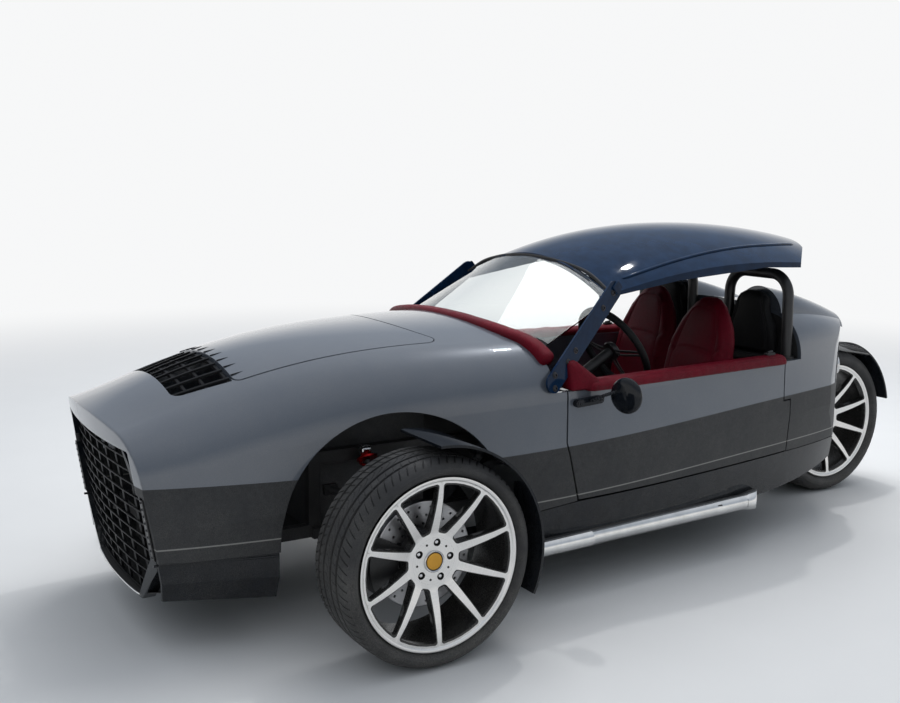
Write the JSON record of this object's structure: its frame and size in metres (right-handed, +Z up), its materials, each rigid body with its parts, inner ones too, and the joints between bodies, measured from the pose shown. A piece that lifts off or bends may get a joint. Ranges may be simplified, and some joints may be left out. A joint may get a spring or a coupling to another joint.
{
  "type": "three-wheeled car",
  "caption": "Open-sided sports car on three wheels, with a horseshoe grille, raked windshield, hard roof over the seats, roll hoops, side pipes, opening doors and hood, and coupled steering.",
  "frame": {"origin": "on the ground under the centre of the bounding box, on the centre plane", "axes": "+Z up, -Y forward, +X towards the car's own left; the longest way is along Y"},
  "size_m": [1.7462, 3.7495, 1.2681],
  "materials": {
    "body_paint": "gloss metallic grey",
    "interior_black": "matt",
    "gloss_black": "gloss",
    "mesh_black": "matt",
    "lamp_clear": "clear lens",
    "lamp_red": "red lens",
    "dark_metal": "satin black",
    "engine_grey": "cast",
    "clear_glass": "clear",
    "black_leather": "matt",
    "red_leather": "satin",
    "bright_steel": "polished",
    "red_metal": "anodised red",
    "cast_metal": "rough",
    "tyre": "matt",
    "alloy": "machined",
    "disc_steel": "brushed"
  },
  "bodies": {
    "chassis": {"front_body": "body_paint", "rear_body": "body_paint", "tub": "interior_black", "dashboard": "interior_black", "sills": "gloss_black", "hood_vent": "mesh_black", "grille_surround": "gloss_black", "grille_mesh": "mesh_black", "headlamps": "lamp_clear", "radiator": "dark_metal", "front_frame": "dark_metal", "engine": "engine_grey", "windshield": "clear_glass", "windshield_plates": "gloss_black", "roof": "gloss_black", "roll_hoops": "gloss_black", "headrests": "black_leather", "seat_left": "red_leather", "seat_right": "red_leather", "steering_column": "dark_metal", "exhaust_pipes": "bright_steel", "front_arms": "dark_metal", "dampers": "red_metal", "swing_arm": "dark_metal", "rear_fender": "gloss_black", "tail_lamps": "lamp_red"},
    "hood": {"hood": "body_paint"},
    "door_left": {"door_left": "body_paint", "door_bolster_left": "red_leather", "door_mirror_left": "gloss_black"},
    "door_right": {"door_right": "body_paint", "door_bolster_right": "red_leather", "door_mirror_right": "gloss_black"},
    "steering_wheel": {"steering_wheel": "interior_black"},
    "steer_left": {"knuckle_left": "cast_metal", "caliper_left": "gloss_black", "front_fender_left": "gloss_black"},
    "steer_right": {"knuckle_right": "cast_metal", "caliper_right": "gloss_black", "front_fender_right": "gloss_black"},
    "wheel_front_left": {"tyre_front_left": "tyre", "rim_front_left": "alloy", "brake_disc_front_left": "disc_steel"},
    "wheel_front_right": {"tyre_front_right": "tyre", "rim_front_right": "alloy", "brake_disc_front_right": "disc_steel"},
    "wheel_rear": {"tyre_rear": "tyre", "rim_rear": "alloy", "brake_disc_rear": "disc_steel"}
  },
  "joints": [
    {"name": "steer_left_turn", "type": "hinge", "parent": "chassis", "child": "steer_left", "pos_m": [0.6795, -1.06737, 0.3215], "axis": [0, 0, 1], "range_deg": [-30, 30]},
    {"name": "steer_right_turn", "type": "hinge", "parent": "chassis", "child": "steer_right", "pos_m": [-0.6795, -1.06737, 0.3215], "axis": [0, 0, 1], "range_deg": [-30, 30]},
    {"name": "steering_wheel_turn", "type": "hinge", "parent": "chassis", "child": "steering_wheel", "pos_m": [0.3, 0.02263, 0.808], "axis": [0, 0.8712, 0.4909], "range_deg": [-420, 420]},
    {"name": "wheel_front_left_spin", "type": "hinge", "parent": "steer_left", "child": "wheel_front_left", "pos_m": [0.7575, -1.06737, 0.3215], "axis": [1, 0, 0], "continuous": true},
    {"name": "wheel_front_right_spin", "type": "hinge", "parent": "steer_right", "child": "wheel_front_right", "pos_m": [-0.7575, -1.06737, 0.3215], "axis": [1, 0, 0], "continuous": true},
    {"name": "wheel_rear_spin", "type": "hinge", "parent": "chassis", "child": "wheel_rear", "pos_m": [0, 1.50263, 0.336], "axis": [1, 0, 0], "continuous": true},
    {"name": "door_left_open", "type": "hinge", "parent": "chassis", "child": "door_left", "pos_m": [0.606, -0.41737, 0.5], "axis": [0, 0, -1], "range_deg": [0, 65]},
    {"name": "door_right_open", "type": "hinge", "parent": "chassis", "child": "door_right", "pos_m": [-0.606, -0.41737, 0.5], "axis": [0, 0, 1], "range_deg": [0, 65]},
    {"name": "hood_open", "type": "hinge", "parent": "chassis", "child": "hood", "pos_m": [0, -1.48237, 0.862], "axis": [1, 0, 0], "range_deg": [0, 50]}
  ],
  "couplings": [
    {"joint": "steer_right_turn", "follows": "steer_left_turn", "ratio": 1},
    {"joint": "steering_wheel_turn", "follows": "steer_left_turn", "ratio": 14}
  ]
}
